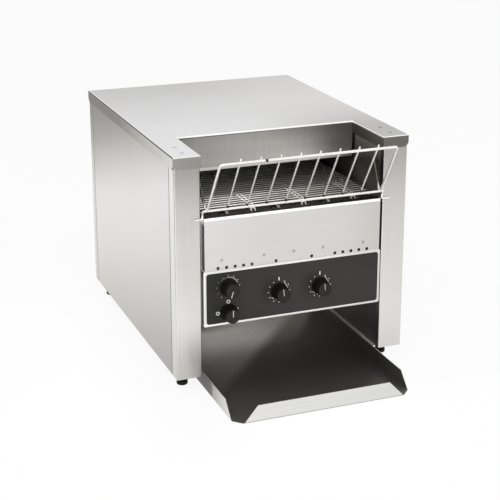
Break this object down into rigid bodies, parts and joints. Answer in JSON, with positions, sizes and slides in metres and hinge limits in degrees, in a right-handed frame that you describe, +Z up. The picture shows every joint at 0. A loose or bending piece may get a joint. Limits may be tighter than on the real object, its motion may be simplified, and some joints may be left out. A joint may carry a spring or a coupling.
{
  "type": "conveyor toaster",
  "caption": "Stainless conveyor toaster with a sloping wire loading rack, a wire belt through a heated chamber, a knob panel and a slide-out landing tray.",
  "frame": {"origin": "on the counter, in the middle of the toaster's width and of its whole depth with tray and gland", "axes": "+Z up; -Y is the front where bread goes in and toast comes out; +X to the right seen from the front"},
  "size_m": [0.47, 0.768, 0.4678],
  "materials": {
    "stainless_top": "brushed stainless sheet, pale",
    "stainless_panel": "brushed stainless sheet",
    "stainless_front": "brushed stainless sheet, vertical grain",
    "tray_steel": "satin stainless sheet",
    "inner_steel": "plain stainless sheet inside the casing",
    "reflector_steel": "bright heat reflector sheet",
    "bright_wire": "polished wire",
    "belt_wire": "stainless belt wire",
    "bright_steel": "machined steel",
    "chain_steel": "oiled chain steel",
    "bronze": "sintered bronze",
    "heater_sheath": "heat-tinted heater sheath",
    "white_ceramic": "glazed ceramic",
    "mineral_wool": "fibrous insulation",
    "black_film": "printed black overlay film",
    "black_plastic": "black plastic",
    "knob_plastic": "satin black knob plastic",
    "black_rubber": "black rubber",
    "green_board": "circuit board",
    "motor_paint": "dark paint"
  },
  "bodies": {
    "casing": {"top_cover": "stainless_top", "left_side_panel": "stainless_panel", "right_side_panel": "stainless_panel", "rear_panel": "stainless_panel", "left_column": "stainless_front", "right_column": "stainless_front", "left_side_frame": "inner_steel", "right_side_frame": "inner_steel", "left_base_pan": "stainless_panel", "right_base_pan": "stainless_panel", "upper_front_panel": "stainless_front", "control_panel": "stainless_front", "control_overlay": "black_film", "control_box": "inner_steel", "casing_screws": "bright_steel", "front_left_foot": "black_rubber", "front_right_foot": "black_rubber", "rear_left_foot": "black_rubber", "rear_right_foot": "black_rubber", "cord_gland": "black_plastic", "discharge_chute": "inner_steel", "upper_reflector": "reflector_steel", "lower_reflector": "reflector_steel", "insulation_blanket": "mineral_wool", "upper_heaters": "heater_sheath", "lower_heaters": "heater_sheath", "heater_bushings": "white_ceramic", "heater_guard": "bright_wire", "belt_rails": "inner_steel", "conveyor_belt": "belt_wire", "shaft_bushings": "bronze", "drive_chain": "chain_steel", "gearmotor": "motor_paint", "motor_bracket": "inner_steel", "fan_frame": "black_plastic", "terminal_block": "white_ceramic", "high_limit_thermostat": "black_plastic", "speed_control_board": "green_board", "speed_potentiometer": "black_plastic", "power_switch": "black_plastic", "heat_regulators": "black_plastic"},
    "rack": {"loading_rack": "bright_wire"},
    "tray": {"landing_tray": "tray_steel"},
    "drive": {"drive_shaft": "bright_steel", "drive_sprockets": "bright_steel", "chain_wheel": "chain_steel"},
    "idler": {"idler_shaft": "bright_steel", "idler_sprockets": "bright_steel"},
    "motor_output": {"motor_sprocket": "chain_steel", "motor_shaft": "bright_steel"},
    "fan": {"fan_rotor": "black_plastic"},
    "speed_control": {"speed_knob": "knob_plastic", "speed_spindle": "bright_steel"},
    "power_control": {"power_knob": "knob_plastic", "power_spindle": "bright_steel"},
    "top_heat_control": {"top_heat_knob": "knob_plastic", "top_heat_spindle": "bright_steel"},
    "bottom_heat_control": {"bottom_heat_knob": "knob_plastic", "bottom_heat_spindle": "bright_steel"}
  },
  "joints": [
    {"name": "rack_swing", "type": "hinge", "parent": "casing", "child": "rack", "pos_m": [0, -0.199, 0.409], "axis": [-1, 0, 0], "range_deg": [0, 120]},
    {"name": "tray_slide", "type": "slide", "parent": "casing", "child": "tray", "axis": [0, -1, 0], "range_m": [0, 0.45]},
    {"name": "drive_spin", "type": "hinge", "parent": "casing", "child": "drive", "pos_m": [0, -0.18, 0.31946], "axis": [-1, 0, 0], "continuous": true},
    {"name": "idler_spin", "type": "hinge", "parent": "casing", "child": "idler", "pos_m": [0, 0.2899, 0.31946], "axis": [-1, 0, 0], "continuous": true},
    {"name": "motor_spin", "type": "hinge", "parent": "casing", "child": "motor_output", "pos_m": [-0.1994, -0.1234, 0.17796], "axis": [-1, 0, 0], "continuous": true},
    {"name": "fan_spin", "type": "hinge", "parent": "casing", "child": "fan", "pos_m": [0.17, -0.134, 0.1855], "axis": [1, 0, 0], "continuous": true},
    {"name": "speed_turn", "type": "hinge", "parent": "casing", "child": "speed_control", "pos_m": [-0.1326, -0.25, 0.2025], "axis": [0, 1, 0], "range_deg": [0, 300]},
    {"name": "power_turn", "type": "hinge", "parent": "casing", "child": "power_control", "pos_m": [-0.1326, -0.25, 0.153], "axis": [0, 1, 0], "range_deg": [-90, 60]},
    {"name": "top_heat_turn", "type": "hinge", "parent": "casing", "child": "top_heat_control", "pos_m": [-0.0309, -0.25, 0.1806], "axis": [0, 1, 0], "range_deg": [0, 330]},
    {"name": "bottom_heat_turn", "type": "hinge", "parent": "casing", "child": "bottom_heat_control", "pos_m": [0.0532, -0.25, 0.1806], "axis": [0, 1, 0], "range_deg": [0, 330]}
  ],
  "couplings": [
    {"joint": "idler_spin", "follows": "drive_spin", "ratio": 1},
    {"joint": "motor_spin", "follows": "drive_spin", "ratio": 1}
  ]
}
